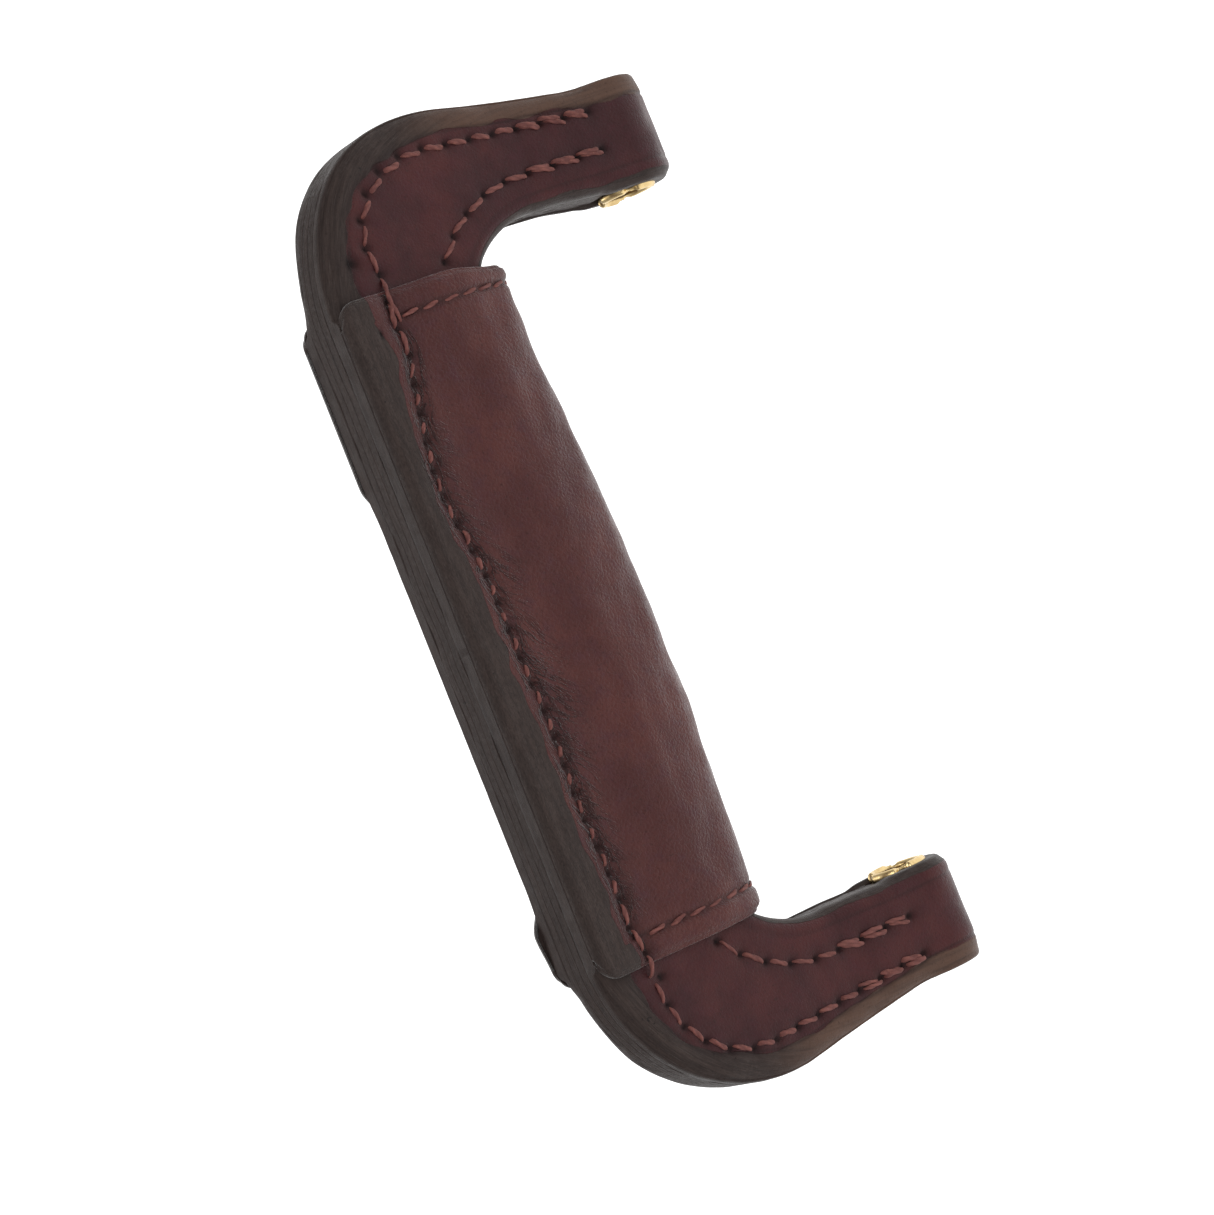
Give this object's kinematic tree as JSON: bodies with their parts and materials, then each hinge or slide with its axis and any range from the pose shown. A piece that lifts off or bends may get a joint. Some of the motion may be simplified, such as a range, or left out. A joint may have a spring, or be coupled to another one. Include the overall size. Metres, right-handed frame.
{
  "type": "leather carrying handle",
  "caption": "Hand-stitched C-shaped leather carrying handle with a padded wrapped grip and brass-tubed loops at both ends.",
  "frame": {"origin": "middle of the handle's footprint, level with the lowest point of the two folded loops", "axes": "+X along the handle's length, +Y towards the back face, +Z from the loops up to the grip"},
  "size_m": [0.14, 0.0171, 0.062],
  "materials": {
    "bridle_leather": "satin",
    "core_leather": "satin",
    "wrap_leather": "satin",
    "thread": "satin",
    "brass": "polished",
    "felt": "matte"
  },
  "bodies": {
    "root": {"cover": "bridle_leather", "core_front": "core_leather", "core_middle": "core_leather", "core_back": "core_leather", "grip_padding": "felt", "grip_wrap": "wrap_leather", "eye_tube_left": "brass", "eye_tube_right": "brass", "outer_seam": "thread", "inner_seam_left": "thread", "inner_seam_right": "thread", "hem_seam_left": "thread", "hem_seam_right": "thread"}
  },
  "joints": []
}
